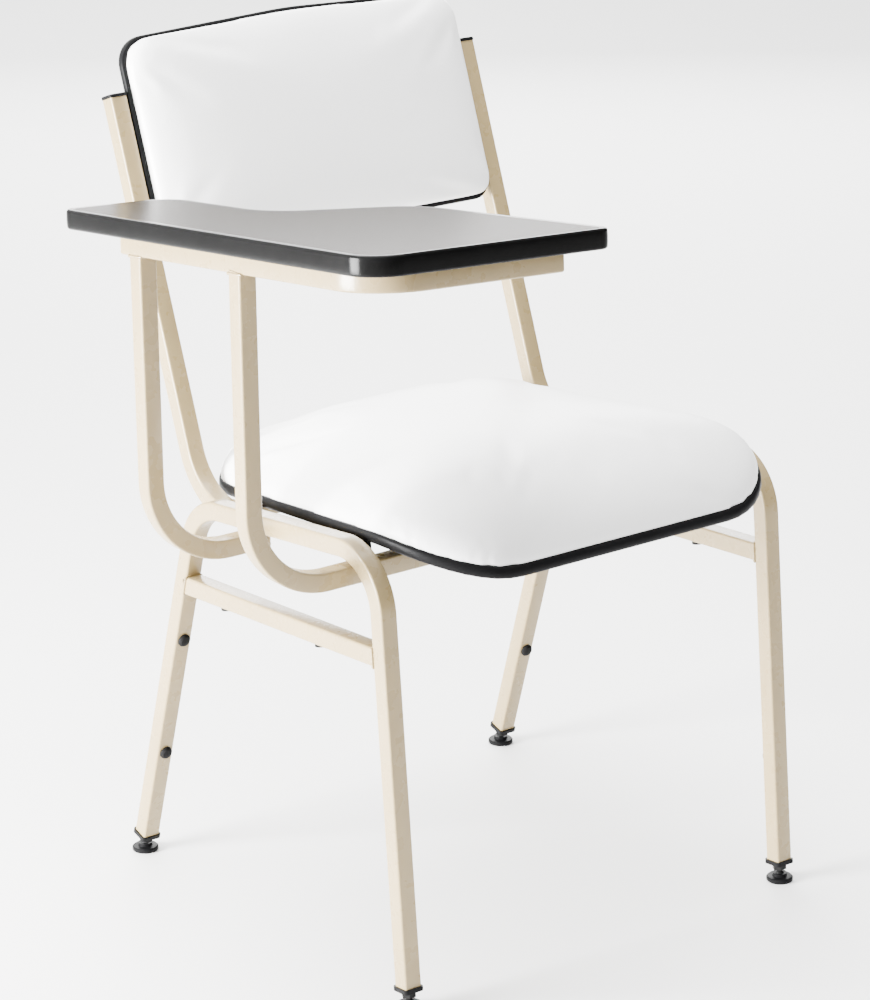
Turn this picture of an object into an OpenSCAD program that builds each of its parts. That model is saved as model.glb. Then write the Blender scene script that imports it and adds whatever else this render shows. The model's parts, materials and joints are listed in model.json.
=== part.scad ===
// Tablet-arm student chair: welded square-tube frame, padded seat and back, fixed writing tablet.
// Units are mm. +Z is up and the sitter faces -Y. Left and right are the sitter's: the tablet is
// on the right, the -X side. The parts are drawn about the chair's own centre plane, then moved so
// that the origin is on the floor under the middle of the whole chair's bounding box.

/* [Tube] */
// Outside width of the square tube
tube = 18; // [17:0.5:19]
// Wall thickness of the square tube
wall = 1.5; // [1.2:0.1:2]
// Outside corner radius of the square tube
tube_corner = 2.5; // [2:0.25:3]

/* [Side frames] */
// Overall width across the two side arches
frame_w = 475; // [465:1:490]
// Distance between the front and rear glide pivots
foot_span = 452; // [440:1:470]
// Forward lean of the front legs, degrees from vertical
front_lean = 4.8; // [3:0.1:6]
// Rearward lean of the rear legs, degrees from vertical
rear_lean = 17.2; // [15:0.1:18]
// Height of the middle of the arch's top run above the floor
arch_h = 413.6; // [408:0.2:420]
// Slope of the arch's top run and of the seat, higher at the front
seat_slope = 5.9; // [5:0.1:6.5]
// Centreline radius of the arch's front bend
front_bend_r = 55; // [52:1:58]
// Centreline radius of the arch's rear bend
rear_bend_r = 60; // [50:1:66]
// Height of the middle of the side stretchers
stretcher_h = 324.6; // [300:1:335]
// Slope of the side stretchers
stretcher_slope = 3.7; // [2:0.1:5]

/* [Back uprights] */
// Backward lean of the uprights, degrees from vertical
back_lean = 19.7; // [18:0.1:21]
// Height of the middle of the uprights' cut tops
upright_h = 768.5; // [750:0.5:785]
// Y where the uprights' line would meet the floor
upright_root_y = -14.35; // [-18:0.05:-12]
// Centreline radius of the bend between upright and seat rail
upright_bend_r = 70; // [62:1:74]
// Height of the middle of the seat rails at Y zero
seat_rail_h = 404.8; // [403:0.1:405.5]

/* [Tablet frame] */
// Distance of the tablet posts' middle from the centre plane
post_x = 339.4; // [330:0.2:350]
// Y of the middle of the front post and front cross tube
front_post_y = -149.15; // [-150:0.05:-148.5]
// Y of the middle of the rear post
rear_post_y = 10.55; // [5:0.05:16]
// Height of the middle of the front cross tube
front_cross_h = 405.6; // [404.6:0.1:406]
// Height of the middle of the rear post's lower run
rear_cross_h = 393.1; // [391:0.1:393.3]
// Centreline radius of the posts' lower bends
post_bend_r = 80; // [70:1:88]
// Height of the tablet rail's underside at Y zero, on its outer face
rail_h = 687.5; // [675:0.5:700]
// Rise of the tablet towards the front, degrees
tablet_pitch = 6.2; // [5:0.1:7]
// Fall of the tablet towards the sitter, degrees
tablet_roll = 3.4; // [2:0.1:4]
// Thickness of the tablet over its edge moulding
tablet_t = 18.5; // [18:0.5:20]

/* [Seat and back] */
// Width of the seat at its front
seat_w = 426; // [416:1:430]
// Width of the seat at its rear
seat_rear_w = 384; // [370:1:386]
// Drop of the seat's rounded front edge
seat_drop = 34; // [28:1:38]
// Thickness of the seat pad at its crown
seat_pad_t = 52; // [46:1:56]
// Width of the backrest
back_w = 398; // [380:1:399]
// Height of the backrest along its own plane
back_h = 222; // [210:1:228]
// How far the back's shell is set behind the front faces of the uprights
back_set = 8; // [6:0.5:9]
// Thickness of the back pad at its crown
back_pad_t = 38; // [32:1:44]

/* [Feet] */
// Diameter of the glide's base
base_d = 26.5; // [25:0.5:28]
// Diameter of the glide's stem
stem_d = 8; // [7.8:0.05:8]

/* [Hidden] */
centre_shift = [61.5, 45.3, 0];
half_w = frame_w / 2;
arch_x = half_w - tube / 2;
rail_x = half_w - tube - 1.5 - tube / 2;
ball_h = 6.5;
ball_r = 4.5;
foot_d = 16;
plug_d = 22;
tab_t = 3;
shell_t = 3;
rim_h = 12;
gap = 0.3;
screw_r = 3;
screw_head_r = 5;
bumper_r = 6.5;

cream = [0.93, 0.89, 0.79];
black = [0.07, 0.07, 0.07];
vinyl = [0.95, 0.95, 0.95];
zinc = [0.62, 0.62, 0.64];
ply = [0.77, 0.62, 0.42];
chip = [0.70, 0.60, 0.45];
taupe = [0.66, 0.62, 0.57];

// ---- plane geometry ----
function unit(v) = v / norm(v);
function cross2(a, b) = a[0] * b[1] - a[1] * b[0];
function turn_at(P, i) =
  let (a = unit(P[i] - P[i - 1]), b = unit(P[i + 1] - P[i])) atan2(cross2(a, b), a * b);
function trim_at(P, R, i) =
  (i <= 0 || i >= len(P) - 1) ? 0 : R * tan(abs(turn_at(P, i)) / 2);
// where the line through p along u meets the line through q along v
function meet(p, u, q, v) = p + u * (cross2(q - p, v) / cross2(u, v));

// points of a closed outline V with corner radii R, every edge moved inwards by d
function left_of(u) = [-u[1], u[0]];
function edge_dir(V, i) = unit(V[(i + 1) % len(V)] - V[i % len(V)]);
function inset_corner(V, i, d) =
  let (n = len(V), a = edge_dir(V, i + n - 1), b = edge_dir(V, i))
  meet(V[i] + left_of(a) * d, a, V[i] + left_of(b) * d, b);
function corner_arc(V, R, i, d, steps) =
  let (
    n = len(V),
    a = edge_dir(V, i + n - 1),
    b = edge_dir(V, i),
    t = atan2(cross2(a, b), a * b),
    r = R[i] - sign(t) * d,
    p = inset_corner(V, i, d),
    k = abs(r) * tan(abs(t) / 2),
    c = p - a * k + left_of(a) * (sign(t) * r),
    s = p - a * k - c
  )
  [for (j = [0 : steps])
    let (w = t * j / steps) c + [s[0] * cos(w) - s[1] * sin(w), s[0] * sin(w) + s[1] * cos(w)]];
function outline(V, R, d = 0, steps = 6) =
  [for (i = [0 : len(V) - 1]) each corner_arc(V, R, i, d, steps)];

// ---- tube runs ----
// one side of a run along the open path P with bend radii R, moved left by d
function run_side(P, R, d, lead) =
  let (n = len(P), a = unit(P[1] - P[0]), b = unit(P[n - 1] - P[n - 2]))
  concat(
    [P[0] + left_of(a) * d - a * lead],
    [for (i = [1 : 1 : n - 2]) each bend_points(P, R[i - 1], i, d)],
    [P[n - 1] + left_of(b) * d + b * lead]
  );
function bend_points(P, R, i, d) =
  let (
    t = turn_at(P, i),
    a = unit(P[i] - P[i - 1]),
    c = P[i] - a * trim_at(P, R, i) + left_of(a) * (sign(t) * R),
    s = left_of(a) * (d - sign(t) * R),
    steps = ceil(abs(t) / 5)
  )
  [for (j = [0 : steps])
    let (w = t * j / steps) c + [s[0] * cos(w) - s[1] * sin(w), s[0] * sin(w) + s[1] * cos(w)]];
function backwards(L) = [for (i = [len(L) - 1 : -1 : 0]) L[i]];

module run_band(P, R, s, lead) {
  polygon(concat(run_side(P, R, s / 2, lead), backwards(run_side(P, R, -s / 2, lead))));
}

// square tube along the path P in the XY plane, R holding one radius per bend
module tube_run(P, R) {
  hollow = tube - 2 * wall;
  difference() {
    linear_extrude(tube, center = true) run_band(P, R, tube, 0);
    linear_extrude(hollow, center = true) run_band(P, R, hollow, 1);
  }
}

module tube_face(s, r) {
  square([s - 2 * r, s], center = true);
  square([s, s - 2 * r], center = true);
  for (x = [-1, 1], y = [-1, 1])
    translate([x * (s / 2 - r), y * (s / 2 - r)]) circle(r, $fn = 16);
}

module placed() {
  translate(centre_shift) children();
}

// local X, Y, Z become Y, Z, X
module side_plane(x) {
  translate([x, 0, 0]) rotate([90, 0, 90]) children();
}

// local X, Y become X, Z
module front_plane(y) {
  translate([0, y, 0]) rotate([90, 0, 0]) children();
}

// ---- side frames ----
front_pivot = [-foot_span / 2, ball_h];
rear_pivot = [foot_span / 2, ball_h];
front_up = [sin(front_lean), cos(front_lean)];
rear_up = [-sin(rear_lean), cos(rear_lean)];
seat_dir = [cos(seat_slope), -sin(seat_slope)];
stretch_dir = [cos(stretcher_slope), -sin(stretcher_slope)];
front_top = meet(front_pivot, front_up, [0, arch_h], seat_dir);
rear_top = meet(rear_pivot, rear_up, [0, arch_h], seat_dir);
front_end = front_pivot + front_up * foot_d;
rear_end = rear_pivot + rear_up * foot_d;

function leg_point(front, h) =
  front ? front_pivot + front_up * ((h - ball_h) / front_up[1])
        : rear_pivot + rear_up * ((h - ball_h) / rear_up[1]);

module side_arch(x) {
  color(cream) placed() side_plane(x)
    tube_run([front_end, front_top, rear_top, rear_end], [front_bend_r, rear_bend_r]);
}

// the stretcher's section of side s, its ends lying on the legs' faces
module stretcher_band(s, lead) {
  m = tube / 2 - lead;
  f = front_pivot + [front_up[1], -front_up[0]] * m;
  r = rear_pivot - [rear_up[1], -rear_up[0]] * m;
  o = left_of(stretch_dir) * (s / 2);
  c = [0, stretcher_h];
  polygon([
    meet(f, front_up, c - o, stretch_dir), meet(r, rear_up, c - o, stretch_dir),
    meet(r, rear_up, c + o, stretch_dir), meet(f, front_up, c + o, stretch_dir)
  ]);
}

module stretcher(x) {
  hollow = tube - 2 * wall;
  color(cream) placed() side_plane(x) difference() {
    linear_extrude(tube, center = true) stretcher_band(tube, 0);
    linear_extrude(hollow, center = true) stretcher_band(hollow, 1);
  }
}

// ---- back uprights and seat rails ----
back_up = [sin(back_lean), cos(back_lean)];
upright_foot = meet([upright_root_y, 0], back_up, [0, seat_rail_h], seat_dir);
upright_top = [upright_root_y + upright_h * tan(back_lean), upright_h];
rail_front_y = front_post_y + tube / 2 + 3.4;
rail_front = [rail_front_y, seat_rail_h - rail_front_y * tan(seat_slope)];

module back_upright(x) {
  color(cream) placed() {
    side_plane(x) tube_run([rail_front, upright_foot, upright_top], [upright_bend_r]);
    // weld seams that tie the seat rail to the arch beside it
    for (y = [-95, 50])
      translate([x + sign(x) * (tube / 2 + 0.5), y, seat_rail_h - y * tan(seat_slope)])
        rotate([-seat_slope, 0, 0]) cube([1.8, 26, 4], center = true);
  }
}

module rear_cross_tube() {
  y = 78;
  color(cream) placed()
    translate([0, y, seat_rail_h - y * tan(seat_slope)])
      rotate([-seat_slope, 0, 0])
        rotate([90, 0, 0])
          tube_run([[-rail_x + tube / 2, 0], [rail_x - tube / 2, 0]], []);
}

module upright_caps() {
  color(black) placed() for (s = [-1, 1]) side_plane(s * rail_x)
    translate([upright_top[0], upright_top[1], 0])
      rotate([0, 0, -back_lean]) rotate([-90, 0, 0]) {
        linear_extrude(3) tube_face(tube + 0.6, tube_corner);
        translate([0, 0, -14]) linear_extrude(14) square(tube - 2 * wall - 0.2, center = true);
      }
}

// ---- tablet frame ----
// the tablet's own plane: Z zero is the rail's underside, X zero the rail's outer face
module tablet_plane() {
  translate([-post_x - tube / 2, 0, rail_h]) rotate([-tablet_pitch, tablet_roll, 0]) children();
}

module tablet_post(y, h, x_end) {
  color(cream) placed() difference() {
    front_plane(y) tube_run([[-post_x, rail_h + 60], [-post_x, h], [x_end, h]], [post_bend_r]);
    tablet_plane() translate([-100, -350, 0]) cube([400, 600, 120]);
  }
}

rail_rear = 32;
rail_front_edge = -354;
rail_right = 197;
rail_bend_r = 46;

module tablet_rail() {
  m = tube / 2;
  color(cream) placed() tablet_plane() translate([0, 0, m]) difference() {
    tube_run([[m, rail_rear], [m, rail_front_edge + m], [rail_right, rail_front_edge + m]], [rail_bend_r]);
    for (p = tablet_screw_at) translate([p[0], p[1], 0]) {
      cylinder(r = screw_r - 0.5 + gap, h = 20, $fn = 24);
      translate([0, 0, -m - 1]) cylinder(r = screw_head_r + gap, h = m, $fn = 32);
    }
  }
}

module rail_end_plugs() {
  m = tube / 2;
  s = tube - 2 * wall - 0.2;
  color(cream) placed() tablet_plane() translate([0, 0, m]) {
    translate([m, rail_rear, 0]) rotate([-90, 0, 0]) {
      linear_extrude(2) tube_face(tube, tube_corner);
      translate([0, 0, -12]) linear_extrude(12) square(s, center = true);
    }
    translate([rail_right, rail_front_edge + m, 0]) rotate([0, 90, 0]) {
      linear_extrude(2) tube_face(tube, tube_corner);
      translate([0, 0, -12]) linear_extrude(12) square(s, center = true);
    }
  }
}

module seat_rail_plugs() {
  color(black) placed() for (s = [-1, 1]) side_plane(s * rail_x)
    translate(rail_front) rotate([0, 0, -seat_slope]) rotate([0, -90, 0]) {
      linear_extrude(2) tube_face(tube, tube_corner);
      translate([0, 0, -12]) linear_extrude(12) square(tube - 2 * wall - 0.2, center = true);
    }
}

module cross_tube_plug() {
  s = tube - 2 * wall - 0.2;
  color(black) placed() translate([half_w - 3, front_post_y, front_cross_h]) rotate([0, 90, 0]) {
    linear_extrude(2) tube_face(tube, tube_corner);
    translate([0, 0, -12]) linear_extrude(12) square(s, center = true);
  }
}

// ---- tablet ----
tablet_out = -17;
tablet_front = -375;
tablet_rear = 107;
tablet_in = 237;
tablet_arm = 100;
tablet_V = [
  [tablet_out, tablet_front], [tablet_in, tablet_front], [tablet_in - 18, -122],
  [tablet_arm, -58], [tablet_arm, tablet_rear - 4], [tablet_out, tablet_rear]
];
tablet_R = [34, 12, 60, 60, 34, 14];
edge_w = 7;
tablet_screw_at = [[9, -20], [9, -230], [80, -345], [165, -345]];
tablet_z = tube;

module tablet_edging() {
  color(black) placed() tablet_plane() translate([0, 0, tablet_z]) {
    difference() {
      union() {
        linear_extrude(tablet_t - 2) polygon(outline(tablet_V, tablet_R, 0.9, 8));
        translate([0, 0, 1.2]) linear_extrude(tablet_t - 2.4) polygon(outline(tablet_V, tablet_R, 0, 8));
        translate([0, 0, 1]) linear_extrude(tablet_t - 1) polygon(outline(tablet_V, tablet_R, 0.9, 8));
      }
      translate([0, 0, -1]) linear_extrude(tablet_t + 2) polygon(outline(tablet_V, tablet_R, edge_w, 8));
    }
  }
}

module tablet_sheet(z, t) {
  tablet_plane() translate([0, 0, tablet_z + z])
    linear_extrude(t) polygon(outline(tablet_V, tablet_R, edge_w, 8));
}

module tablet_core() {
  color(chip) placed() difference() {
    tablet_sheet(0.8, tablet_t - 2.2);
    tablet_plane() for (p = tablet_screw_at) translate([p[0], p[1], tablet_z])
      cylinder(r = screw_r - 0.5, h = 11, $fn = 24);
  }
}

module tablet_backing() {
  color(taupe) placed() difference() {
    tablet_sheet(0, 0.8);
    tablet_plane() for (p = tablet_screw_at) translate([p[0], p[1], tablet_z - 1])
      cylinder(r = screw_r - 0.5, h = 3, $fn = 24);
  }
}

module tablet_laminate() {
  color(taupe) placed() tablet_sheet(tablet_t - 1.4, 1.2);
}

// their heads sit inside the rail, reached through holes in its underside
module tablet_screws() {
  color(zinc) placed() tablet_plane() for (p = tablet_screw_at) translate([p[0], p[1], 0]) {
    translate([0, 0, tube - wall - 3]) cylinder(r = screw_head_r, h = 3, $fn = 32);
    translate([0, 0, tube - wall]) cylinder(r = screw_r - 0.6, h = wall + 10, $fn = 24);
  }
}

// ---- seat ----
// the seat's own frame: Z zero is the top of the seat rails, sloping up to the front
seat_base_h = seat_rail_h + tube / 2 / cos(seat_slope);
seat_y0 = -262;
seat_y1 = 168;
seat_V = [
  [-seat_w / 2 + 1, seat_y0], [seat_w / 2 - 1, seat_y0], [seat_w / 2, -150],
  [seat_rear_w / 2, seat_y1], [-seat_rear_w / 2, seat_y1], [-seat_w / 2, -150]
];
seat_R = [92, 92, 500, 72, 72, 500];
seat_screw_at = [[-178, -105], [178, -105], [-178, 55], [178, 55]];

module seat_plane() {
  translate([0, 0, seat_base_h]) rotate([-seat_slope, 0, 0]) children();
}

function seat_curve(y) =
  y < -146 ? -seat_drop * pow((-146 - y) / (-146 - seat_y0), 2.2)
  : y > 118 ? 9 * pow((y - 118) / (seat_y1 - 118), 2)
  : 0;
seat_ys = [for (i = [0 : 12]) seat_y0 - 1 + i * 10, -100, 0, 100, for (i = [0 : 5]) 119 + i * 10];

// a sheet following the seat's curve, from a above it to b above it
module seat_band(a, b) {
  rotate([90, 0, 90]) linear_extrude(seat_w + 20, center = true)
    polygon(concat(
      [for (y = seat_ys) [y, seat_curve(y) + a]],
      [for (i = [len(seat_ys) - 1 : -1 : 0]) [seat_ys[i], seat_curve(seat_ys[i]) + b]]
    ));
}

module seat_plan(d) {
  translate([0, 0, -80]) linear_extrude(220) polygon(outline(seat_V, seat_R, d, 8));
}

module at_seat_screws() {
  for (p = seat_screw_at) translate([p[0], p[1], 0]) children();
}

module seat_shell() {
  color(black) placed() seat_plane() difference() {
    intersection() {
      seat_plan(0);
      seat_band(0, rim_h);
    }
    intersection() {
      seat_plan(3);
      seat_band(shell_t, rim_h + 1);
    }
    at_seat_screws() translate([0, 0, -5]) cylinder(r = screw_r + gap, h = 20, $fn = 24);
  }
}

module seat_board() {
  color(ply) placed() seat_plane() difference() {
    intersection() {
      seat_plan(3.2);
      seat_band(shell_t, rim_h - gap);
    }
    at_seat_screws() translate([0, 0, -5]) cylinder(r = 4.2, h = 30, $fn = 24);
    at_seat_screws() translate([0, 0, rim_h - 1.6]) cylinder(r = 8.2, h = 3, $fn = 32);
  }
}

// height of a cushion's top at t, from -1 to 1 across it: a low side wall and a full crown
function crown(t, edge, full, n = 4) = edge + (full - edge) * sqrt(1 - pow(min(1, abs(t)), n));

// a prism along the direction at angle w, its top following the crown, half width h
module crown_prism(w, h, edge, full, z) {
  rotate([0, 0, w]) rotate([90, 0, 0]) linear_extrude(900, center = true)
    polygon(concat(
      [[h, -90], [-h, -90]],
      [for (i = [0 : 24]) let (t = -cos(i * 7.5)) [t * h, z + crown(t, edge, full, 2.6)]]
    ));
}

module seat_pad() {
  cy = (seat_y0 + seat_y1) / 2;
  hl = (seat_y1 - seat_y0) / 2;
  color(vinyl) placed() seat_plane() intersection() {
    seat_plan(1);
    rotate([90, 0, 90]) linear_extrude(seat_w + 20, center = true)
      polygon(concat(
        [for (y = seat_ys) [y, seat_curve(y) + rim_h + gap]],
        [for (i = [26 : -1 : 0]) let (t = -cos(i * 180 / 26), y = cy + t * (hl - 1))
          [y, seat_curve(y) * 0.8 + rim_h + crown(t, 14, seat_pad_t)]]
      ));
    crown_prism(0, seat_w / 2 - 1, 9, seat_pad_t, rim_h);
    translate([0, cy, 0]) crown_prism(45, 262, 16, seat_pad_t + 1, rim_h);
    translate([0, cy, 0]) crown_prism(-45, 262, 16, seat_pad_t + 1, rim_h);
  }
}

module seat_tabs() {
  color(cream) placed() seat_plane() for (p = seat_screw_at)
    translate([p[0], p[1], -tab_t]) difference() {
      w = rail_x - tube / 2 - 160;
      x = p[0] > 0 ? 160 - p[0] : -160 - p[0] - w;
      translate([x, -14, 0]) cube([w, 28, tab_t - 0.1]);
      translate([0, 0, -1]) cylinder(r = screw_r + gap, h = tab_t + 2, $fn = 24);
    }
}

module seat_screws() {
  color(zinc) placed() seat_plane() at_seat_screws() {
    translate([0, 0, -tab_t - 4]) cylinder(r = 5.5, h = 4, $fn = 32);
    translate([0, 0, -tab_t]) cylinder(r = screw_r - 0.1, h = tab_t + 10.5, $fn = 24);
  }
}

module seat_tee_nuts() {
  color(zinc) placed() seat_plane() at_seat_screws() difference() {
    union() {
      translate([0, 0, rim_h - 1.5]) cylinder(r = 8, h = 1.5, $fn = 32);
      translate([0, 0, 4]) cylinder(r = 4.1, h = 7, $fn = 32);
    }
    translate([0, 0, 3]) cylinder(r = screw_r, h = 12, $fn = 24);
  }
}

// ---- backrest ----
// the back's own frame: Y zero is just behind the shell, Z runs up along the uprights
back_top = 881;
back_V = [
  [-back_w / 2, back_top - back_h], [back_w / 2, back_top - back_h],
  [back_w / 2, back_top - 8], [0, back_top], [-back_w / 2, back_top - 8]
];
back_R = [20, 20, 28, 600, 28];
back_screw_at = [[-183, 720], [183, 720], [-183, 790], [183, 790]];
back_shell_d = 9;

module back_plane() {
  translate([0, upright_root_y - tube / 2 / cos(back_lean), 0])
    rotate([-back_lean, 0, 0]) translate([0, back_set, 0]) children();
}

// a slab of the back's outline from a in front of the shell's rear to b in front of it
module back_slab(a, b, d) {
  rotate([90, 0, 0]) translate([0, 0, a]) linear_extrude(b - a) polygon(outline(back_V, back_R, d, 8));
}

module at_back_screws() {
  for (p = back_screw_at) translate([p[0], 0, p[1]]) rotate([90, 0, 0]) children();
}

module back_shell() {
  color(black) placed() back_plane() difference() {
    back_slab(0.3, back_shell_d, 0);
    back_slab(shell_t, back_shell_d + 1, 3);
    at_back_screws() translate([0, 0, -1]) cylinder(r = screw_r + gap, h = 8, $fn = 24);
  }
}

module back_board() {
  color(ply) placed() back_plane() difference() {
    back_slab(shell_t, back_shell_d - 0.2, 3.2);
    at_back_screws() cylinder(r = 4.2, h = 20, $fn = 24);
    at_back_screws() translate([0, 0, back_shell_d - 1.3]) cylinder(r = 8.2, h = 3, $fn = 32);
  }
}

module back_pad() {
  cz = back_top - back_h / 2;
  hx = back_w / 2 - 1;
  hz = back_h / 2 - 1;
  color(vinyl) placed() back_plane() intersection() {
    back_slab(back_shell_d + 0.1, back_shell_d + back_pad_t + 2, 1);
    translate([0, 0, cz]) linear_extrude(back_h + 20, center = true)
      polygon(concat(
        [[hx, 5], [-hx, 5]],
        [for (i = [0 : 24]) let (t = -cos(i * 7.5)) [t * hx, -back_shell_d - crown(t, 10, back_pad_t)]]
      ));
    rotate([90, 0, 90]) linear_extrude(back_w + 20, center = true)
      polygon(concat(
        [[5, cz + hz], [5, cz - hz]],
        [for (i = [0 : 24]) let (t = -cos(i * 7.5)) [-back_shell_d - crown(t, 10, back_pad_t), cz + t * hz]]
      ));
  }
}

module back_tabs() {
  color(cream) placed() back_plane() for (s = [-1, 1], z = [720, 790])
    difference() {
      x0 = s > 0 ? 165 : -(rail_x - tube / 2);
      translate([x0, 0.1, z - 13]) cube([rail_x - tube / 2 - 165, tab_t, 26]);
      translate([s * 183, -1, z]) rotate([-90, 0, 0]) cylinder(r = screw_r + gap, h = tab_t + 3, $fn = 24);
    }
}

module back_screws() {
  color(zinc) placed() back_plane() at_back_screws() {
    translate([0, 0, -tab_t - 4.2]) cylinder(r = 5.5, h = 4, $fn = 32);
    translate([0, 0, -tab_t - 0.2]) cylinder(r = screw_r - 0.1, h = tab_t + 8, $fn = 24);
  }
}

module back_tee_nuts() {
  color(zinc) placed() back_plane() at_back_screws() difference() {
    union() {
      translate([0, 0, back_shell_d - 1.2]) cylinder(r = 8, h = 1.2, $fn = 32);
      translate([0, 0, 3.6]) cylinder(r = 4.1, h = 5, $fn = 32);
    }
    translate([0, 0, 3]) cylinder(r = screw_r, h = 8, $fn = 24);
  }
}

// ---- bumpers ----
// a domed button on the leg's face
module bumper() {
  rotate_extrude($fn = 32)
    polygon([[0, 0.05], [bumper_r, 0.05], [bumper_r, 2.2], [5, 4], [0, 4.6]]);
}

module rear_leg_bumpers() {
  color(black) placed() for (s = [-1, 1], h = [124, 256]) {
    p = leg_point(false, h) + [-rear_up[1], rear_up[0]] * (tube / 2);
    translate([s * arch_x, p[0], p[1]]) rotate([90 + rear_lean, 0, 0]) bumper();
  }
}

module front_leg_bumpers() {
  color(black) placed() for (s = [-1, 1]) {
    p = leg_point(true, 128) + [front_up[1], -front_up[0]] * (tube / 2);
    translate([s * arch_x, p[0], p[1]]) rotate([-90 - front_lean, 0, 0]) bumper();
  }
}

module stretcher_buffers() {
  color(black) placed() for (s = [-1, 1], y = [-94, 62])
    translate([s * arch_x, y, stretcher_h - y * tan(stretcher_slope) - tube / 2 / cos(stretcher_slope)])
      rotate([-stretcher_slope, 0, 0]) translate([0, 0, -4]) cylinder(r = 5, h = 3.9, $fn = 32);
}

// ---- feet ----
// a foot's own frame: origin at the ball, Z up along the leg
module foot_at(side, front) {
  p = front ? front_pivot : rear_pivot;
  translate([side * arch_x, p[0], p[1]])
    rotate([front ? -front_lean : rear_lean, 0, 0]) children();
}

module foot_insert(side, front) {
  color(black) placed() foot_at(side, front) difference() {
    union() {
      translate([0, 0, foot_d - 4.2]) linear_extrude(4.15) tube_face(tube + 3.4, 3.4);
      translate([0, 0, foot_d - 1]) linear_extrude(plug_d + 1) square(tube - 2 * wall - 0.2, center = true);
    }
    translate([0, 0, foot_d - 6]) cylinder(d = stem_d + 0.1, h = plug_d + 9, $fn = 48);
  }
}

module foot_stem(side, front) {
  color(black) placed() foot_at(side, front) {
    sphere(ball_r, $fn = 40);
    cylinder(r = 2.4, h = 6, $fn = 32);
    translate([0, 0, 5.5]) cylinder(d = stem_d, h = 30.5, $fn = 48);
  }
}

module foot_collar(side, front) {
  color(black) placed() foot_at(side, front) difference() {
    translate([0, 0, 5.7]) cylinder(r = 7.2, h = 4, $fn = 6);
    translate([0, 0, 5]) cylinder(d = stem_d + 0.1, h = 6, $fn = 48);
  }
}

module foot_base(side, front) {
  p = front ? front_pivot : rear_pivot;
  r = base_d / 2;
  color(black) placed() translate([side * arch_x, p[0], 0]) difference() {
    rotate_extrude($fn = 64) polygon([
      [0, 0], [r - 1, 0], [r, 1], [r, 3.6], [r - 1.2, 4.8], [7.6, 5.2], [7, 6], [7, 8.3], [0, 8.3]
    ]);
    translate([0, 0, ball_h]) sphere(ball_r + 0.08, $fn = 48);
    translate([0, 0, ball_h]) cylinder(r1 = 4.1, r2 = 4.6, h = 3, $fn = 48);
  }
}

side_arch(-arch_x);  // right_side_arch
side_arch(arch_x);  // left_side_arch
stretcher(-arch_x);  // right_stretcher
stretcher(arch_x);  // left_stretcher
back_upright(-rail_x);  // right_back_upright
back_upright(rail_x);  // left_back_upright
rear_cross_tube();
tablet_post(front_post_y, front_cross_h, half_w - 3);  // front_tablet_post
tablet_post(rear_post_y, rear_cross_h, -rail_x - tube / 2);  // rear_tablet_post
tablet_rail();
rail_end_plugs();
cross_tube_plug();
seat_rail_plugs();
upright_caps();
seat_tabs();
back_tabs();
seat_shell();
seat_board();
seat_pad();
seat_screws();
seat_tee_nuts();
back_shell();
back_board();
back_pad();
back_screws();
back_tee_nuts();
tablet_core();
tablet_laminate();
tablet_backing();
tablet_edging();
tablet_screws();
rear_leg_bumpers();
front_leg_bumpers();
stretcher_buffers();
foot_insert(-1, true);  // insert_front_right
foot_insert(1, true);  // insert_front_left
foot_insert(-1, false);  // insert_rear_right
foot_insert(1, false);  // insert_rear_left
foot_stem(-1, true);  // stem_front_right
foot_stem(1, true);  // stem_front_left
foot_stem(-1, false);  // stem_rear_right
foot_stem(1, false);  // stem_rear_left
foot_collar(-1, true);  // collar_front_right
foot_collar(1, true);  // collar_front_left
foot_collar(-1, false);  // collar_rear_right
foot_collar(1, false);  // collar_rear_left
foot_base(-1, true);  // base_front_right
foot_base(1, true);  // base_front_left
foot_base(-1, false);  // base_rear_right
foot_base(1, false);  // base_rear_left
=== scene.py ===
import json
import math

import bmesh
import bpy
from mathutils import Matrix, Vector


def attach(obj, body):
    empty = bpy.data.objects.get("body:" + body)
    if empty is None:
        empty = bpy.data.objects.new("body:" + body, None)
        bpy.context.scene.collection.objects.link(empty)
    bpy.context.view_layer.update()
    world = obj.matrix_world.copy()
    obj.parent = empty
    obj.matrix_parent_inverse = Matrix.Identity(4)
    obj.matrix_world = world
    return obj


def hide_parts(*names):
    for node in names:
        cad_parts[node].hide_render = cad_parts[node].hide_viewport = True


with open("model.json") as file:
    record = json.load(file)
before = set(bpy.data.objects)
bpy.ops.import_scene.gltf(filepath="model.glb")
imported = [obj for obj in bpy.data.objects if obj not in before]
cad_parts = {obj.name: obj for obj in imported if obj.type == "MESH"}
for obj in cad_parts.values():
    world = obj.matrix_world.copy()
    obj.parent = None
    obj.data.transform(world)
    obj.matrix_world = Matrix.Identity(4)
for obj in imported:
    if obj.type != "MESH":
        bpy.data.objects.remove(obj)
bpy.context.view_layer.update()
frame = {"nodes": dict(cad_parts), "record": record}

NODES = frame["nodes"]
MM = 0.001
CHAIR = "chair"
# the chair is drawn about its own centre plane, and moved so that the origin is under the middle of its box
SHIFT = Vector((0.0615, 0.0453, 0))


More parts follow.
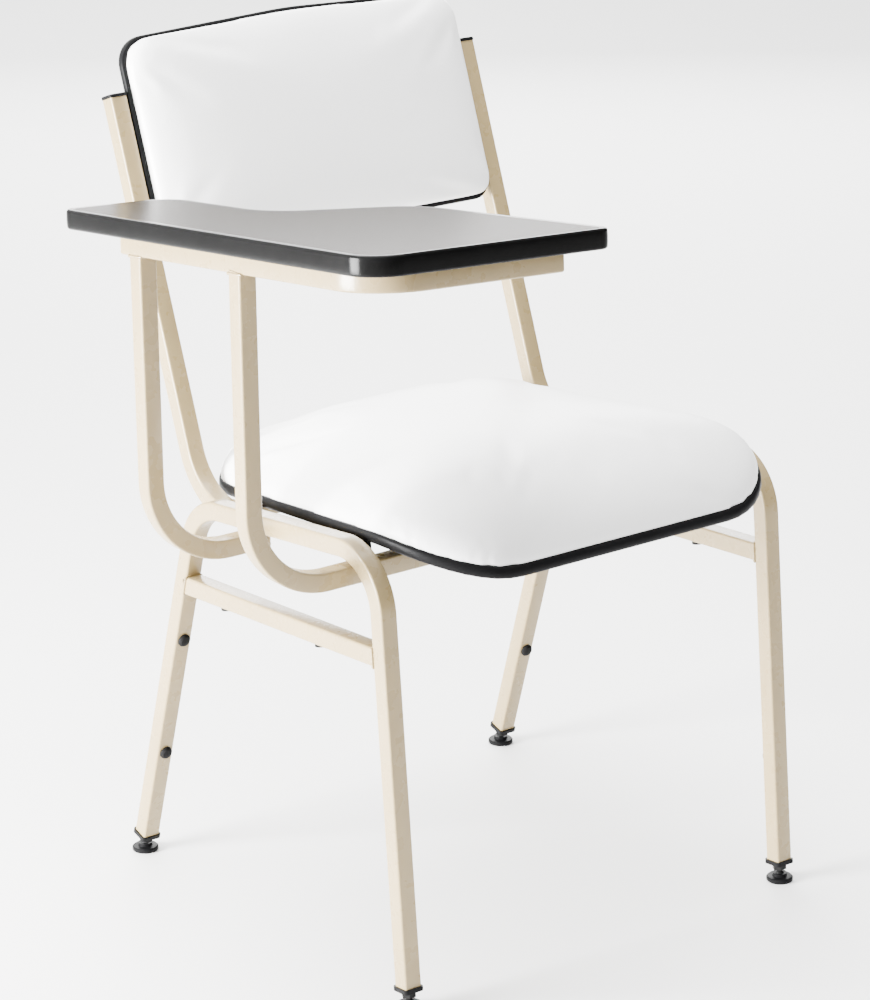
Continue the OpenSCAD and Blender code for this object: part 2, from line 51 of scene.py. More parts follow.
# ---- camera ----
def make_camera():
    yaw, pitch, roll = math.radians(36.626), math.radians(18.711), math.radians(-0.608)
    d = Vector((math.sin(yaw) * math.cos(pitch), math.cos(yaw) * math.cos(pitch), -math.sin(pitch)))
    r = Vector((math.cos(yaw), -math.sin(yaw), 0))
    u = r.cross(d)
    right = r * math.cos(roll) + u * math.sin(roll)
    up = u * math.cos(roll) - r * math.sin(roll)
    cam = bpy.data.objects.new("camera", bpy.data.cameras.new("camera"))
    bpy.context.collection.objects.link(cam)
    m = Matrix((right, up, -d)).transposed().to_4x4()
    m.translation = Vector((-1.9943, -2.6492, 1.5097)) + SHIFT
    cam.matrix_world = m
    cam.data.sensor_width = 36
    cam.data.lens = 129.8
    cam.data.clip_end = 50
    bpy.context.scene.camera = cam


make_camera()


# ---- materials ----
class Mat:
    """A Principled material that is built up from procedural nodes in object space."""

    def __init__(self, name, **constants):
        self.m = bpy.data.materials.new(name)
        self.m.use_nodes = True
        self.t = self.m.node_tree
        self.b = self.t.nodes["Principled BSDF"]
        for k, v in constants.items():
            self.b.inputs[k.replace("_", " ")].default_value = v
        self.co = self.node("ShaderNodeTexCoord").outputs["Object"]

    def node(self, kind, **inputs):
        n = self.t.nodes.new(kind)
        for k, v in inputs.items():
            s = n.inputs[k.replace("_", " ")]
            if isinstance(v, bpy.types.NodeSocket):
                self.t.links.new(v, s)
            else:
                s.default_value = v
        return n

    def stretched(self, scale, turn=(0, 0, 0)):
        n = self.node("ShaderNodeMapping", Vector=self.co)
        n.inputs["Scale"].default_value = scale
        n.inputs["Rotation"].default_value = turn
        return n.outputs["Vector"]

    def noise(self, scale, detail=2.0, rough=0.5, vector=None):
        return self.node(
            "ShaderNodeTexNoise", Vector=vector or self.co, Scale=scale, Detail=detail, Roughness=rough
        ).outputs["Fac"]

    def ramp(self, fac, *stops):
        n = self.node("ShaderNodeValToRGB", Fac=fac)
        e = n.color_ramp.elements
        while len(e) < len(stops):
            e.new(0.5)
        for x, (p, c) in zip(e, stops):
            x.position = p
            x.color = (*c, 1) if isinstance(c, tuple) else (c, c, c, 1)
        return n.outputs["Color"]

    def mix(self, fac, a, b, blend="MIX"):
        n = self.t.nodes.new("ShaderNodeMix")
        n.data_type = "RGBA"
        n.blend_type = blend
        for i, v in ((0, fac), (6, a), (7, b)):
            if isinstance(v, bpy.types.NodeSocket):
                self.t.links.new(v, n.inputs[i])
            elif i:
                n.inputs[i].default_value = (*v, 1)
            else:
                n.inputs[i].default_value = v
        return n.outputs[2]

    def add(self, a, b, k):
        n = self.t.nodes.new("ShaderNodeMath")
        n.operation = "MULTIPLY_ADD"
        self.t.links.new(b, n.inputs[0])
        n.inputs[1].default_value = k
        self.t.links.new(a, n.inputs[2])
        return n.outputs[0]

    def color(self, s):
        self.t.links.new(s, self.b.inputs["Base Color"])

    def rough(self, fac, lo, hi):
        n = self.node("ShaderNodeMapRange", Value=fac)
        n.inputs["To Min"].default_value = lo
        n.inputs["To Max"].default_value = hi
        self.t.links.new(n.outputs["Result"], self.b.inputs["Roughness"])

    def bump(self, height, strength, distance):
        n = self.node("ShaderNodeBump", Height=height, Strength=strength, Distance=distance)
        self.t.links.new(n.outputs["Normal"], self.b.inputs["Normal"])
        return self.m


def cream_paint():
    m = Mat("cream_paint", IOR=1.45, Coat_Weight=0.12, Coat_Roughness=0.12)
    tone = m.ramp(m.noise(9, 3), (0.3, (0.272, 0.203, 0.098)), (0.7, (0.305, 0.229, 0.113)))
    specks = m.ramp(m.noise(420, 2), (0.66, 0.0), (0.76, 0.10))
    m.color(m.mix(specks, tone, (0.225, 0.165, 0.08)))
    m.rough(m.noise(60, 3), 0.22, 0.34)
    return m.bump(m.add(m.noise(330, 2), m.noise(1100, 1), 0.3), 0.16, 0.0006)


def black_plastic(name, base, rough, bump, shine=0.06):
    m = Mat(name, IOR=1.48, Specular_IOR_Level=shine)
    k = tuple(1.2 * c + 0.0003 for c in base)
    m.color(m.ramp(m.noise(35, 4), (0.35, base), (0.75, k)))
    m.rough(m.noise(90, 3), rough - 0.07, rough + 0.09)
    return m.bump(m.add(m.noise(700, 3), m.noise(160, 2), 0.4), bump, 0.0005)


def vinyl():
    coat = {"Coat_Weight": 0.12, "Coat_Roughness": 0.3}
    m = Mat("white_vinyl", IOR=1.47, Sheen_Weight=0.08, Sheen_Roughness=0.5, **coat)
    m.color(m.ramp(m.noise(7, 3), (0.3, (0.90, 0.90, 0.90)), (0.7, (0.94, 0.94, 0.935))))
    cells = m.node("ShaderNodeTexVoronoi", Vector=m.co, Scale=620.0)
    cells.feature = "DISTANCE_TO_EDGE"
    grain = m.ramp(cells.outputs["Distance"], (0.0, 0.0), (0.22, 1.0))
    bw = m.node("ShaderNodeRGBToBW", Color=grain).outputs["Val"]
    m.rough(m.noise(30, 3), 0.33, 0.44)
    return m.bump(m.add(bw, m.noise(240, 3), 0.6), 0.13, 0.0006)


def laminate():
    m = Mat("grey_laminate", IOR=1.5, Specular_IOR_Level=0.012)
    along = m.stretched((14, 260, 60))
    streak = m.noise(3.2, 5, 0.62, along)
    fine = m.noise(9.0, 4, 0.7, m.stretched((30, 900, 200)))
    dark, middle, light = (0.025, 0.0205, 0.0170), (0.036, 0.0305, 0.0260), (0.050, 0.0435, 0.0375)
    tone = m.ramp(streak, (0.32, dark), (0.50, middle), (0.70, light))
    m.color(m.mix(m.ramp(fine, (0.42, 0.0), (0.62, 0.4)), tone, (0.017, 0.0135, 0.011)))
    m.rough(fine, 0.22, 0.32)
    return m.bump(fine, 0.10, 0.0003)


def zinc():
    m = Mat("zinc_steel", Metallic=1.0)
    m.color(m.ramp(m.noise(120, 4), (0.3, (0.50, 0.50, 0.49)), (0.7, (0.66, 0.66, 0.66))))
    m.rough(m.noise(240, 3), 0.26, 0.42)
    return m.bump(m.noise(900, 2), 0.08, 0.0003)


def wood(name, dark, light, scale):
    m = Mat(name, IOR=1.45)
    g = m.noise(4, 6, 0.65, m.stretched(scale))
    m.color(m.ramp(g, (0.3, dark), (0.7, light)))
    m.rough(g, 0.55, 0.75)
    return m.bump(g, 0.25, 0.0006)


MATS = {
    "cream_paint": cream_paint(),
    "black_plastic": black_plastic("black_plastic", (0.0045, 0.0045, 0.0048), 0.40, 0.14),
    "black_rubber": black_plastic("black_rubber", (0.007, 0.007, 0.007), 0.58, 0.22, 0.05),
    "black_edging": black_plastic("black_edging", (0.003, 0.003, 0.003), 0.18, 0.04, 0.07),
    "black_steel": black_plastic("black_steel", (0.008, 0.008, 0.008), 0.36, 0.08, 0.08),
    "white_vinyl": vinyl(),
    "grey_laminate": laminate(),
    "plywood": wood("plywood", (0.42, 0.27, 0.13), (0.62, 0.44, 0.24), (6, 60, 6)),
    "chipboard": wood("chipboard", (0.36, 0.25, 0.14), (0.60, 0.46, 0.29), (70, 70, 70)),
    "zinc_steel": zinc(),
}
for part in frame["record"]["subparts"]:
    o = NODES[part["node"]]
    o.data.materials.clear()
    o.data.materials.append(MATS[part["material_slot"]])


# ---- building blocks ----
def evaluated_mesh(o):
    dg = bpy.context.evaluated_depsgraph_get()
    return bpy.data.meshes.new_from_object(o.evaluated_get(dg))


def piece(name, bm, slot, replaces=(), body=CHAIR, matrix=None, sharp=35):
    bmesh.ops.recalc_face_normals(bm, faces=bm.faces)
    me = bpy.data.meshes.new(name)
    if matrix is not None:
        bm.transform(matrix)
    bm.to_mesh(me)
    bm.free()
    for p in me.polygons:
        p.use_smooth = True
    me.set_sharp_from_angle(angle=math.radians(sharp))
    me.materials.append(MATS[slot])
    o = bpy.data.objects.new(name, me)
    bpy.context.collection.objects.link(o)
    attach(o, body)
    if replaces:
        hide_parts(*replaces)
    return o


def grid(bm, rings, closed_ends=True):
    """Faces between successive closed rings of points, with a cap on each end."""
    rows = [[bm.verts.new(p) for p in ring] for ring in rings]
    n = len(rows[0])
    for a, b in zip(rows, rows[1:]):
        for i in range(n):
            bm.faces.new((a[i], a[(i + 1) % n], b[(i + 1) % n], b[i]))
    if closed_ends:
        bm.faces.new(rows[0])
        bm.faces.new(rows[-1])
    return rows


def square_ring(side, r, steps=4):
    h = side / 2 - r
    out = []
    for k, (sx, sy) in enumerate(((1, 1), (-1, 1), (-1, -1), (1, -1))):
        for j in range(steps + 1):
            w = math.radians(90 * k + 90 * j / steps)
            out.append((sx * h + r * math.cos(w), sy * h + r * math.sin(w)))
    return out


def run_stations(points, radii):
    """Stations (place, direction) along a path of straight runs joined by arcs."""
    pts = [Vector(p) for p in points]
    out = [(pts[0], (pts[1] - pts[0]).normalized())]
    for i, r in enumerate(radii, 1):
        a, b = (pts[i] - pts[i - 1]).normalized(), (pts[i + 1] - pts[i]).normalized()
        turn = a.angle(b)
        side = (b - a * a.dot(b)).normalized()
        start = pts[i] - a * r * math.tan(turn / 2)
        centre = start + side * r
        steps = max(6, math.ceil(math.degrees(turn) / 3))
        for j in range(steps + 1):
            w = turn * j / steps
            place = centre - side * r * math.cos(w) + a * r * math.sin(w)
            out.append((place, a * math.cos(w) + side * math.sin(w)))
    out.append((pts[-1], (pts[-1] - pts[-2]).normalized()))
    return out


def tube(name, points, radii, across, node, seams=(), body=CHAIR, side=18.0, corner=2.1):
    """A square tube with rounded corners; across is the direction square to the plane of its bends."""
    bm = bmesh.new()
    ring = square_ring(side, corner)
    across = Vector(across).normalized()
    rings = []
    for p, t in run_stations(points, radii):
        v = t.cross(across).normalized()
        rings.append([p + across * x + v * y for x, y in ring])
    grid(bm, rings)
    for loop in seams:
        weld(bm, loop)
    bmesh.ops.scale(bm, vec=(MM, MM, MM), verts=bm.verts)
    return piece(name, bm, "cream_paint", (node,), body, Matrix.Translation(SHIFT), 40)


def weld(bm, loop, r=1.35):
    """A rippled weld bead along the closed or open line of points."""
    pts = [Vector(p) for p in loop]
    path = []
    for a, b in zip(pts, pts[1:]):
        n = max(2, round((b - a).length / 0.9))
        path += [(a.lerp(b, i / n), (b - a).normalized()) for i in range(n)]
    path.append((pts[-1], (pts[-1] - pts[-2]).normalized()))
    rings = []
    for k, (p, t) in enumerate(path):
        e = min(k, len(path) - 1 - k)
        s = r * (0.35 + 0.65 * min(1, e / 3)) * (1 + 0.13 * math.sin(k * 1.25) + 0.05 * math.sin(k * 0.37))
        u = t.orthogonal().normalized()
        v = t.cross(u)
        if rings:
            u = (rings[-1][1] - t * rings[-1][1].dot(t)).normalized()
            v = t.cross(u)
        turns = (math.tau * i / 10 for i in range(10))
        rings.append(([p + (u * math.cos(w) + v * math.sin(w)) * s for w in turns], u))
    grid(bm, [x[0] for x in rings])


# ---- plane geometry of outlines, in mm ----
def cross2(a, b):
    return a[0] * b[1] - a[1] * b[0]


def outline(corners, radii, d=0.0, steps=8):
    """Points of a closed outline with rounded corners, every edge moved inwards by d."""
    V = [Vector(c) for c in corners]
    n = len(V)
    out = []
    for i in range(n):
        a, b = (V[i] - V[i - 1]).normalized(), (V[(i + 1) % n] - V[i]).normalized()
        la, lb = Vector((-a.y, a.x)), Vector((-b.y, b.x))
        t = math.atan2(cross2(a, b), a.dot(b))
        s = 1 if t >= 0 else -1
        p, q = V[i] + la * d, V[i] + lb * d
        corner = p + a * (cross2(q - p, b) / cross2(a, b))
        r = radii[i] - s * d
        k = abs(r) * math.tan(abs(t) / 2)
        c = corner - a * k + la * (s * r)
        e = corner - a * k - c
        for j in range(steps + 1):
            w = t * j / steps
            x = c.x + e.x * math.cos(w) - e.y * math.sin(w)
            y = c.y + e.x * math.sin(w) + e.y * math.cos(w)
            out.append(Vector((x, y)))
    return out


def resampled(points, step):
    """The closed line with extra points, no two further apart than step."""
    out = []
    for i, p in enumerate(points):
        q = points[(i + 1) % len(points)]
        n = max(1, math.ceil((q - p).length / step))
        out += [p.lerp(q, j / n) for j in range(n)]
    return out


# ---- the frame's lines, in mm about the chair's own centre plane ----
def lean(deg):
    return Vector((math.sin(math.radians(deg)), math.cos(math.radians(deg))))


def meet(p, u, q, v):
    p, u, q, v = Vector(p), Vector(u), Vector(q), Vector(v)
    return p + u * (cross2(q - p, v) / cross2(u, v))


TUBE = 18.0
CAP_CORNER = 2.6  # of a moulded plug
PLUG_T = 2.2
FRONT_BEND, REAR_BEND, BACK_BEND, POST_BEND, RAIL_BEND = 55, 60, 70, 80, 46  # radii of the bends
ARCH_X, RAIL_X = 228.5, 209.0
POST_X = -339.4  # the tablet's posts
FRONT_PIVOT, REAR_PIVOT = Vector((-226, 6.5)), Vector((226, 6.5))
LEG_START = 16  # how far up from the feet's pivots the legs start
FRONT_LEAN, REAR_LEAN = 4.8, 17.2
FRONT_UP, REAR_UP = lean(FRONT_LEAN), lean(-REAR_LEAN)
SEAT_TILT, BACK_LEAN = 5.9, 19.7
SEAT_TAN = math.tan(math.radians(SEAT_TILT))
SEAT_DIR = Vector((1, -SEAT_TAN)).normalized()
BACK_UP = lean(BACK_LEAN)
ARCH_H, RAIL_H, STRETCHER_H = 413.6, 404.8, 324.6  # at Y zero
BACK_FOOT_Y = -14.35  # where the line of the uprights meets the floor
BACK_TOP_H = 768.5
STRETCHER_TILT = 3.7
STRETCH_DIR = Vector((1, -math.tan(math.radians(STRETCHER_TILT)))).normalized()
FRONT_Y, REAR_Y = -149.15, 10.55  # the tablet's posts
FRONT_CROSS_H, REAR_CROSS_H = 405.6, 393.1  # where they run under the seat
FRONT_CROSS_END = 234.5
RAIL_FRONT_Y = FRONT_Y + 12.4
CROSS_TUBE_Y = 78
SEAM_Y, SEAM_HALF = (-95, 50), 13  # the welds between the seat rails and the arches


def at_side(x, p):
    """The point of the side view p, (y, z), at x."""
    return Vector((x, p[0], p[1]))


def rectangle(centre, u, v, half=9.3):
    """A closed loop just outside a tube's section, for its weld."""
    c = [centre + u * (a * half) + v * (b * half) for a, b in ((1, 1), (-1, 1), (-1, -1), (1, -1))]
    return c + c[:1]


def on_rail(y):
    """The middle of the seat rails at y."""
    return y, RAIL_H - y * SEAT_TAN


FRONT_TOP = meet(FRONT_PIVOT, FRONT_UP, (0, ARCH_H), SEAT_DIR)
REAR_TOP = meet(REAR_PIVOT, REAR_UP, (0, ARCH_H), SEAT_DIR)
BACK_TOP = Vector((BACK_FOOT_Y + BACK_TOP_H * math.tan(math.radians(BACK_LEAN)), BACK_TOP_H))
across = Vector((1, 0, 0))
for word, s in (("right", -1), ("left", 1)):
    x = s * ARCH_X
    route = (FRONT_PIVOT + FRONT_UP * LEG_START, FRONT_TOP, REAR_TOP, REAR_PIVOT + REAR_UP * LEG_START)
    ends = [at_side(x, p) for p in route]
    tube("tube_%s_arch" % word, ends, [FRONT_BEND, REAR_BEND], across, word + "_side_arch")
    feet = []
    welds = []
    for pivot, up, way in ((FRONT_PIVOT, FRONT_UP, 1), (REAR_PIVOT, REAR_UP, -1)):
        on_leg = meet(pivot, up, (0, STRETCHER_H), STRETCH_DIR)
        run = STRETCH_DIR * way
        face = on_leg + run * (TUBE / 2 / abs(cross2(up, run)))
        feet.append(at_side(x, face - run * 2.4))
        welds.append(rectangle(at_side(x, face), across, at_side(0, up).normalized()))
    tube("tube_%s_stretcher" % word, feet, [], across, word + "_stretcher", welds)

    x = s * RAIL_X
    foot = meet((BACK_FOOT_Y, 0), BACK_UP, (0, RAIL_H), SEAT_DIR)
    seams = []
    for y in SEAM_Y:
        for up in (-7, 7):
            reach = (y - SEAM_HALF, y + SEAM_HALF)
            seams.append([at_side(x + s * 9.7, (v, on_rail(v)[1] + up)) for v in reach])
    tube(
        "tube_%s_upright" % word,
        [at_side(x, on_rail(RAIL_FRONT_Y)), at_side(x, foot), at_side(x, BACK_TOP)],
        [BACK_BEND],
        across,
        word + "_back_upright",
        seams,
    )

cross = at_side(0, SEAT_DIR)
centre = at_side(0, on_rail(CROSS_TUBE_Y))
ends = [centre - across * 200.4, centre + across * 200.4]
seams = [rectangle(e, cross, cross.cross(across)) for e in ends]
tube("tube_rear_cross", ends, [], cross, "rear_cross_tube", seams)

TABLET_PITCH, TABLET_ROLL = 6.2, 3.4
TABLET = (
    Matrix.Translation((-348.4, 0, 687.5))
    @ Matrix.Rotation(math.radians(TABLET_ROLL), 4, "Y")
    @ Matrix.Rotation(math.radians(-TABLET_PITCH), 4, "X")
)
TAB_U, TAB_V, TAB_N = (TABLET.to_3x3() @ Vector(v) for v in ((1, 0, 0), (0, 1, 0), (0, 0, 1)))


def under_rail(x, y):
    """The height of the tablet rail's underside at x, y."""
    o = TABLET.translation
    return o.z - ((x - o.x) * TAB_N.x + (y - o.y) * TAB_N.y) / TAB_N.z


for name, y, h, x_end, node in (
    ("tube_front_post", FRONT_Y, FRONT_CROSS_H, FRONT_CROSS_END, "front_tablet_post"),
    ("tube_rear_post", REAR_Y, REAR_CROSS_H, -217.6, "rear_tablet_post"),
):
    ring = []
    for a, b in ((9, 9), (-9, 9), (-9, -9), (9, -9)):
        ring.append(Vector((POST_X + a, y + b, under_rail(POST_X + a, y + b))))
    seams = [ring + ring[:1]]
    if x_end < 0:
        seams.append(rectangle(Vector((-218, y, h)), Vector((0, 1, 0)), Vector((0, 0, 1))))
    else:
        seams += [[Vector((s * x, y - 8.8, h + 9.2)) for x in (236, 221)] for s in (-1, 1)]
    path = [(POST_X, y, under_rail(POST_X, y) + 2.6), (POST_X, y, h), (x_end, y, h)]
    tube(name, path, [POST_BEND], (0, 1, 0), node, seams)

# the tablet rail's line, in the tablet's own axes
RAIL_REAR, RAIL_CORNER, RAIL_INNER = (TABLET @ Vector(p) for p in ((9, 32, 9), (9, -345, 9), (197, -345, 9)))
rail = tube("tube_tablet_rail", [RAIL_REAR, RAIL_CORNER, RAIL_INNER], [RAIL_BEND], TAB_N, "tablet_rail")
# the screws that hold the tablet are reached through holes in the rail's underside
bm = bmesh.new()
for x, y in ((9, -20), (9, -230), (80, -345), (165, -345)):
    place = TABLET @ Matrix.Translation((x, y, 3.8))
    bmesh.ops.create_cone(bm, cap_ends=True, segments=32, radius1=5.3, radius2=5.3, depth=20, matrix=place)
bmesh.ops.scale(bm, vec=(MM, MM, MM), verts=bm.verts)
bm.transform(Matrix.Translation(SHIFT))
me = bpy.data.meshes.new("holes")
bm.to_mesh(me)
bm.free()
holes = bpy.data.objects.new("holes", me)
bpy.context.collection.objects.link(holes)
cut = rail.modifiers.new("holes", "BOOLEAN")
cut.operation, cut.solver, cut.object = "DIFFERENCE", "EXACT", holes
drilled = evaluated_mesh(rail)
rail.modifiers.clear()
rail.data = drilled
bpy.data.objects.remove(holes)


# ---- plastic caps and plugs ----
def caps(name, places, side, height, corner, node, slot="black_plastic"):
    """Flat moulded caps with softened edges; each place is a matrix, in mm, with Z out of the tube."""
    bm = bmesh.new()
    profile = ((0.5, 0.0), (0.1, 0.2), (0, 0.6), (0, height - 1.2), (0.25, height - 0.45), (1.1, height))
    for m in places:
        rings = [
            [m @ Vector((px, py, z)) for px, py in square_ring(side - 2 * e, max(0.6, corner - e))]
            for e, z in profile
        ]
        grid(bm, rings)
    bmesh.ops.scale(bm, vec=(MM, MM, MM), verts=bm.verts)
    return piece(name, bm, slot, (node,), matrix=Matrix.Translation(SHIFT), sharp=50)


def facing(origin, z, hint=(1, 0, 0)):
    """A matrix at origin whose Z runs along z and whose X is as near to hint as it can be."""
    z = Vector(z).normalized()
    x = (Vector(hint) - z * Vector(hint).dot(z)).normalized()
    m = Matrix((x, z.cross(x), z)).transposed().to_4x4()
    m.translation = Vector(origin)
    return m


caps(
    "cap_uprights",
    [facing(at_side(s * RAIL_X, BACK_TOP), at_side(0, BACK_UP)) for s in (-1, 1)],
    side=19.6,
    height=3.4,
    corner=3,
    node="upright_caps",
)
caps(
    "plug_rail_ends",
    [facing(RAIL_REAR, TAB_V, TAB_U), facing(RAIL_INNER, TAB_U, TAB_V)],
    TUBE,
    PLUG_T,
    CAP_CORNER,
    "rail_end_plugs",
    "cream_paint",
)
caps(
    "plug_seat_rails",
    [facing(at_side(s * RAIL_X, on_rail(RAIL_FRONT_Y)), at_side(0, -SEAT_DIR)) for s in (-1, 1)],
    TUBE,
    PLUG_T,
    CAP_CORNER,
    "seat_rail_plugs",
)
caps(
    "plug_cross_tube",
    [facing((FRONT_CROSS_END, FRONT_Y, FRONT_CROSS_H), (1, 0, 0), (0, 1, 0))],
    TUBE,
    PLUG_T,
    CAP_CORNER,
    "cross_tube_plug",
)


# ---- tablet edging ----
TABLET_V = [(-17, -375), (237, -375), (219, -122), (100, -58), (100, 103), (-17, 107)]
TABLET_R = [34, 12, 60, 60, 34, 14]


def arc(cx, cy, r, a0, a1, n):
    turns = (math.radians(a0 + (a1 - a0) * i / n) for i in range(n + 1))
    return [(cx + r * math.cos(a), cy + r * math.sin(a)) for a in turns]


# (distance inwards, height) round the section of the moulding
EDGE = (
    [(7, 0.2), (5, 0.0)]
    + arc(3.0, 3.0, 2.7, 270, 180, 6)
    + [(0.08, 6.0), (0.0, 9.2), (0.06, 12.4)]
    + arc(3.1, 15.6, 2.9, 180, 90, 7)
    + [(5.2, 18.45), (7, 18.3)]
)
bm = bmesh.new()
rings = []
for d, z in EDGE + [EDGE[0]]:
    rings.append([TABLET @ Vector((p.x, p.y, 18 + z)) for p in outline(TABLET_V, TABLET_R, d, 14)])
grid(bm, rings, closed_ends=False)
bmesh.ops.scale(bm, vec=(MM, MM, MM), verts=bm.verts)
piece("edging_tablet", bm, "black_edging", ("tablet_edging",), matrix=Matrix.Translation(SHIFT), sharp=45)

# ---- seat shell ----
SEAT = Matrix.Translation((0, 0, RAIL_H + TUBE / 2 / math.cos(math.radians(SEAT_TILT)))) @ Matrix.Rotation(
    math.radians(-SEAT_TILT), 4, "X"
)
SEAT_V = [(-212, -262), (212, -262), (213, -150), (192, 168), (-192, 168), (-213, -150)]
SEAT_R = [92, 92, 500, 72, 72, 500]


def seat_curve(y):
    """How far the seat drops at its front and rises at its back, at y."""
    if y < -146:
        return -34 * ((-146 - y) / 116) ** 2.2
    if y > 118:
        return 9 * ((y - 118) / 50) ** 2
    return 0.0


def shell(name, node, V, R, centre, profile, place):
    """A moulded tray: its rim follows profile, (inset, height), and its floor closes towards the centre."""
    bm = bmesh.new()
    c = Vector(centre)
    first = outline(V, R, profile[0][0], 10)
    outer = resampled(first, 12)
    rings = [[c.lerp(p, k) for p in outer] for k in (0.02, 0.15, 0.3, 0.45, 0.6, 0.75, 0.88)]
    rows = [[place(p, profile[0][1]) for p in ring] for ring in rings]
    count = [max(1, math.ceil((q - p).length / 12)) for p, q in zip(first, first[1:] + first[:1])]
    for d, z in profile:
        line = outline(V, R, d, 10)
        pts = []
        for i, p in enumerate(line):
            q = line[(i + 1) % len(line)]
            pts += [p.lerp(q, j / count[i]) for j in range(count[i])]
        rows.append([place(p, z) for p in pts])
    inner = [[c.lerp(p, k) for p in pts] for k in (0.85, 0.6, 0.3, 0.02)]
    rows += [[place(p, profile[-1][1]) for p in ring] for ring in inner]
    grid(bm, rows)
    bmesh.ops.scale(bm, vec=(MM, MM, MM), verts=bm.verts)
    return piece(name, bm, "black_plastic", (node,), matrix=Matrix.Translation(SHIFT), sharp=50)


# the rims' profiles: (distance inwards, height)
SEAT_RIM = [
    (9, 0.0), (4.5, 0.2), (2.2, 1.2), (0.7, 3.2), (0, 6.0), (0.0, 8.2), (0.4, 10.2),
    (1.2, 11.5), (2.2, 12.0), (4, 12.2), (7.4, 12.2), (8.6, 11.4), (8.6, 3.2),
]
BACK_RIM = [
    (5, 0.3), (2.4, 0.4), (0.9, 1.1), (0.2, 2.4), (0, 4.6), (0.1, 7.4),
    (0.7, 8.6), (1.8, 9.0), (4, 9.2), (7.4, 9.2), (8.6, 8.4), (8.6, 3.2),
]
shell(
    "shell_seat",
    "seat_shell",
    SEAT_V,
    SEAT_R,
    (0, -47),
    SEAT_RIM,
    lambda p, z: SEAT @ Vector((p.x, p.y, seat_curve(p.y) + z)),
)

BACK = (
    Matrix.Translation((0, BACK_FOOT_Y - TUBE / 2 / math.cos(math.radians(BACK_LEAN)), 0))
    @ Matrix.Rotation(math.radians(-BACK_LEAN), 4, "X")
    @ Matrix.Translation((0, 8, 0))
)
BACK_V = [(-199, 659), (199, 659), (199, 873), (0, 881), (-199, 873)]
BACK_R = [20, 20, 28, 600, 28]
shell(
    "shell_back",
    "back_shell",
    BACK_V,
    BACK_R,
    (0, 770),
    BACK_RIM,
    lambda p, z: BACK @ Vector((p.x, -z, p.y)),
)


# ---- pads ----
def dome(V, R, inset, centre, base, edge, full, side, low, high):
    """A closed cushion: flat base, low wall, and a crown that falls off by a (power, root) of its own towards
    the sides, the low end and the high end. base is the height of its underside at a point. All in mm, in the
    pad's own plane."""
    c = Vector(centre)
    line = resampled(outline(V, R, inset, 10), 9)
    bm = bmesh.new()
    count = 26
    rings = [[(c.lerp(p, k), 0.0) for p in line] for k in (0.03, 0.25, 0.5, 0.75, 0.93)]
    wall = ((0.995, 0.0), (1.0, edge * 0.35), (1.002, edge * 0.7))
    rings += [[(c.lerp(p, k), z) for p in line] for k, z in wall]
    for i in range(count, -1, -1):
        k = max(0.03, math.sin(math.pi / 2 * i / count) * 0.999)
        ring = []
        for p in line:
            d = p - c
            w = (d.y / d.length) ** 2
            end = low if d.y < 0 else high
            n, m = side[0] + (end[0] - side[0]) * w, side[1] + (end[1] - side[1]) * w
            ring.append((c.lerp(p, k), edge + (full - edge) * (1 - k**n) ** m))
        rings.append(ring)
    grid(bm, [[Vector((p.x, p.y, base(p) + z)) for p, z in ring] for ring in rings])
    bmesh.ops.recalc_face_normals(bm, faces=bm.faces)
    return bm


VOXEL = 0.005
PRESSURE = 4.0
MOST_MOVE = 0.006  # of a point of the cover, while it is blown up


def pad(name, node, bm, place, base):
    """A stuffed cover: the cushion's form remeshed, then blown up by a cloth simulation, its base held."""
    me = bpy.data.meshes.new(name)
    bm.to_mesh(me)
    bm.free()
    me.transform(Matrix.Scale(MM, 4))
    o = bpy.data.objects.new(name, me)
    bpy.context.collection.objects.link(o)
    m = o.modifiers.new("remesh", "REMESH")
    m.mode = "VOXEL"
    m.voxel_size = VOXEL
    m = o.modifiers.new("soften", "SMOOTH")
    m.factor, m.iterations = 0.5, 3
    solid = evaluated_mesh(o)
    o.modifiers.clear()
    o.data = solid
    rest = [v.co.copy() for v in solid.vertices]
    held = o.vertex_groups.new(name="held")
    for i, p in enumerate(rest):
        if p.z < (base(Vector((p.x, p.y)) / MM) + 9) * MM:
            held.add([i], 1.0, "REPLACE")
    c = o.modifiers.new("cloth", "CLOTH")
    s = c.settings
    s.quality = 6
    s.mass = 0.3
    s.tension_stiffness = s.compression_stiffness = 22
    s.shear_stiffness = 12
    s.bending_stiffness = 3
    s.use_pressure = True
    s.uniform_pressure_force = PRESSURE
    s.effector_weights.gravity = 0
    s.vertex_group_mass = "held"
    c.point_cache.frame_start, c.point_cache.frame_end = 1, 20
    for f in range(1, 21):
        bpy.context.scene.frame_set(f)
    done = evaluated_mesh(o)
    o.modifiers.clear()
    for v, r, d in zip(solid.vertices, rest, done.vertices):
        move = d.co - r
        if move.length > MOST_MOVE:
            move *= MOST_MOVE / move.length
        v.co = r + move
    bpy.context.scene.frame_set(1)
    m = o.modifiers.new("settle", "SMOOTH")
    m.factor, m.iterations = 0.5, 4
    m = o.modifiers.new("subdivision", "SUBSURF")
    m.levels = m.render_levels = 1
    final = evaluated_mesh(o)
    o.modifiers.clear()
    o.data = final
    for v in final.vertices:
        v.co = (place(Vector((v.co.x, v.co.y)) / MM, v.co.z / MM)) * MM + SHIFT
    final.materials.clear()
    final.materials.append(MATS["white_vinyl"])
    for p in final.polygons:
        p.use_smooth = True
    final.update()
    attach(o, CHAIR)
    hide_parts(node)
    return o


def seat_base(p):
    return seat_curve(p.y) + 7


def back_base(p):
    return 4.6


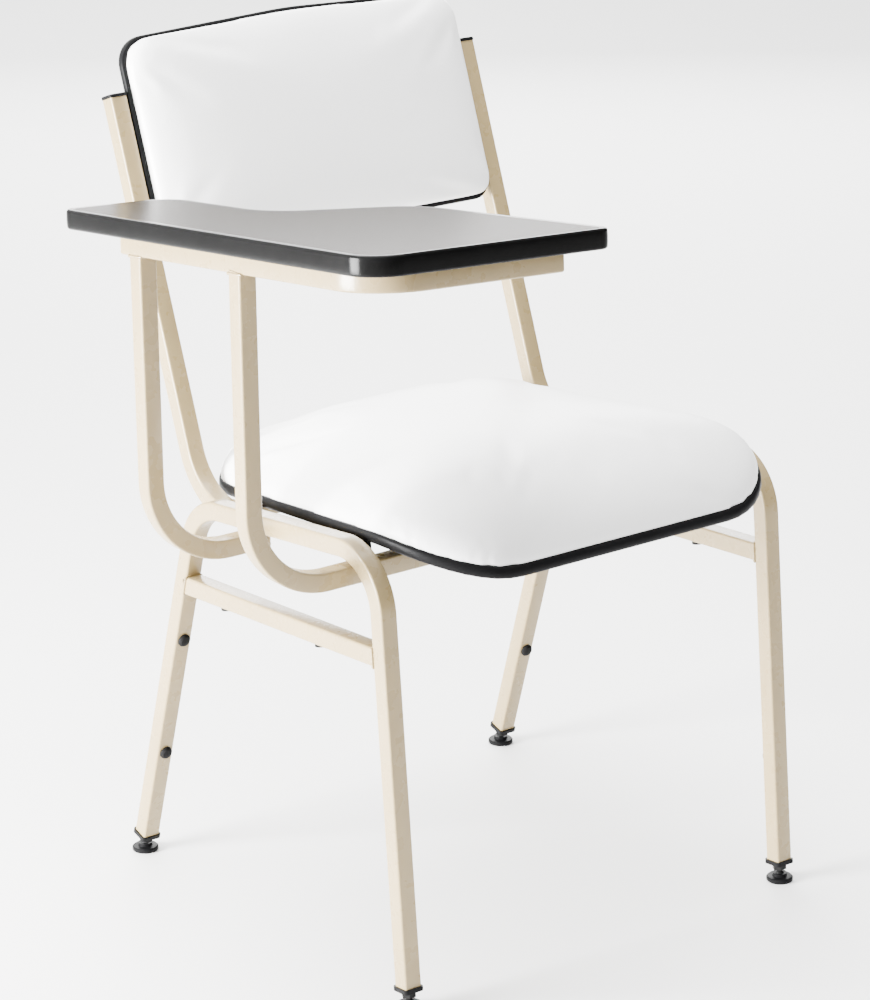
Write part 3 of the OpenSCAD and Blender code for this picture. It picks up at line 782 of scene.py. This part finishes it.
pad(
    "pad_seat",
    "seat_pad",
    dome(
        SEAT_V, SEAT_R, inset=1.8, centre=(0, -38), base=seat_base, edge=12, full=58,
        side=(2.5, 0.60), low=(3.2, 0.52), high=(5.0, 0.42),
    ),
    lambda p, z: SEAT @ Vector((p.x, p.y, z)),
    seat_base,
)
pad(
    "pad_back",
    "back_pad",
    dome(
        BACK_V, BACK_R, inset=3.6, centre=(0, 770), base=back_base, edge=11, full=36,
        side=(4.6, 0.5), low=(4.0, 0.5), high=(4.0, 0.5),
    ),
    lambda p, z: BACK @ Vector((p.x, -z, p.y)),
    back_base,
)


# ---- soft edges on the small CAD parts ----
for name, o in NODES.items():
    if not o.hide_render:
        for p in o.data.polygons:
            p.use_smooth = True
        o.data.set_sharp_from_angle(angle=math.radians(32))


# ---- floor, light ----
def stage_floor():
    bpy.ops.mesh.primitive_plane_add(size=30, location=(0, 0, 0))
    o = bpy.context.object
    o.name = "floor"
    m = Mat("studio_floor", Roughness=0.65)
    m.color(m.ramp(m.noise(1.5, 2), (0.3, (0.90, 0.90, 0.895)), (0.7, (0.92, 0.92, 0.915))))
    o.data.materials.append(m.m)


def softbox(name, place, aim, size, power):
    light = bpy.data.lights.new(name, "AREA")
    light.shape = "RECTANGLE"
    light.size, light.size_y = size
    light.energy = power
    o = bpy.data.objects.new(name, light)
    bpy.context.collection.objects.link(o)
    o.location = place
    o.rotation_mode = "QUATERNION"
    o.rotation_quaternion = (Vector(aim) - Vector(place)).to_track_quat("-Z", "Y")


stage_floor()
softbox("key", (-2.4, 0.62, 0.6), (0, 0, 0.4), (1.1, 1.0), 700)
softbox("top", (-0.1, 0.25, 2.1), (0, 0.05, 0.4), (1.4, 1.4), 105)
softbox("rear_panel", (2.4, 3.0, 1.4), (-0.1, -0.3, 0.7), (2.4, 1.2), 130)
softbox("back_wash", (1.8, 3.8, 2.7), (1.5, 2.4, 0), (3.0, 2.0), 200)
world = bpy.data.worlds.new("studio")
world.use_nodes = True
t = world.node_tree
where = t.nodes.new("ShaderNodeTexCoord")
dot = t.nodes.new("ShaderNodeVectorMath")
dot.operation = "DOT_PRODUCT"
dot.inputs[1].default_value = (-0.50, 0.30, 0.81)
t.links.new(where.outputs["Generated"], dot.inputs[0])
span = t.nodes.new("ShaderNodeMapRange")
span.inputs["From Min"].default_value, span.inputs["From Max"].default_value = -0.2, 0.9
span.inputs["To Min"].default_value, span.inputs["To Max"].default_value = 0.15, 2.9
t.links.new(dot.outputs["Value"], span.inputs["Value"])
sky = t.nodes["Background"]
sky.inputs["Color"].default_value = (1, 1, 1, 1)
t.links.new(span.outputs["Result"], sky.inputs["Strength"])
bpy.context.scene.world = world
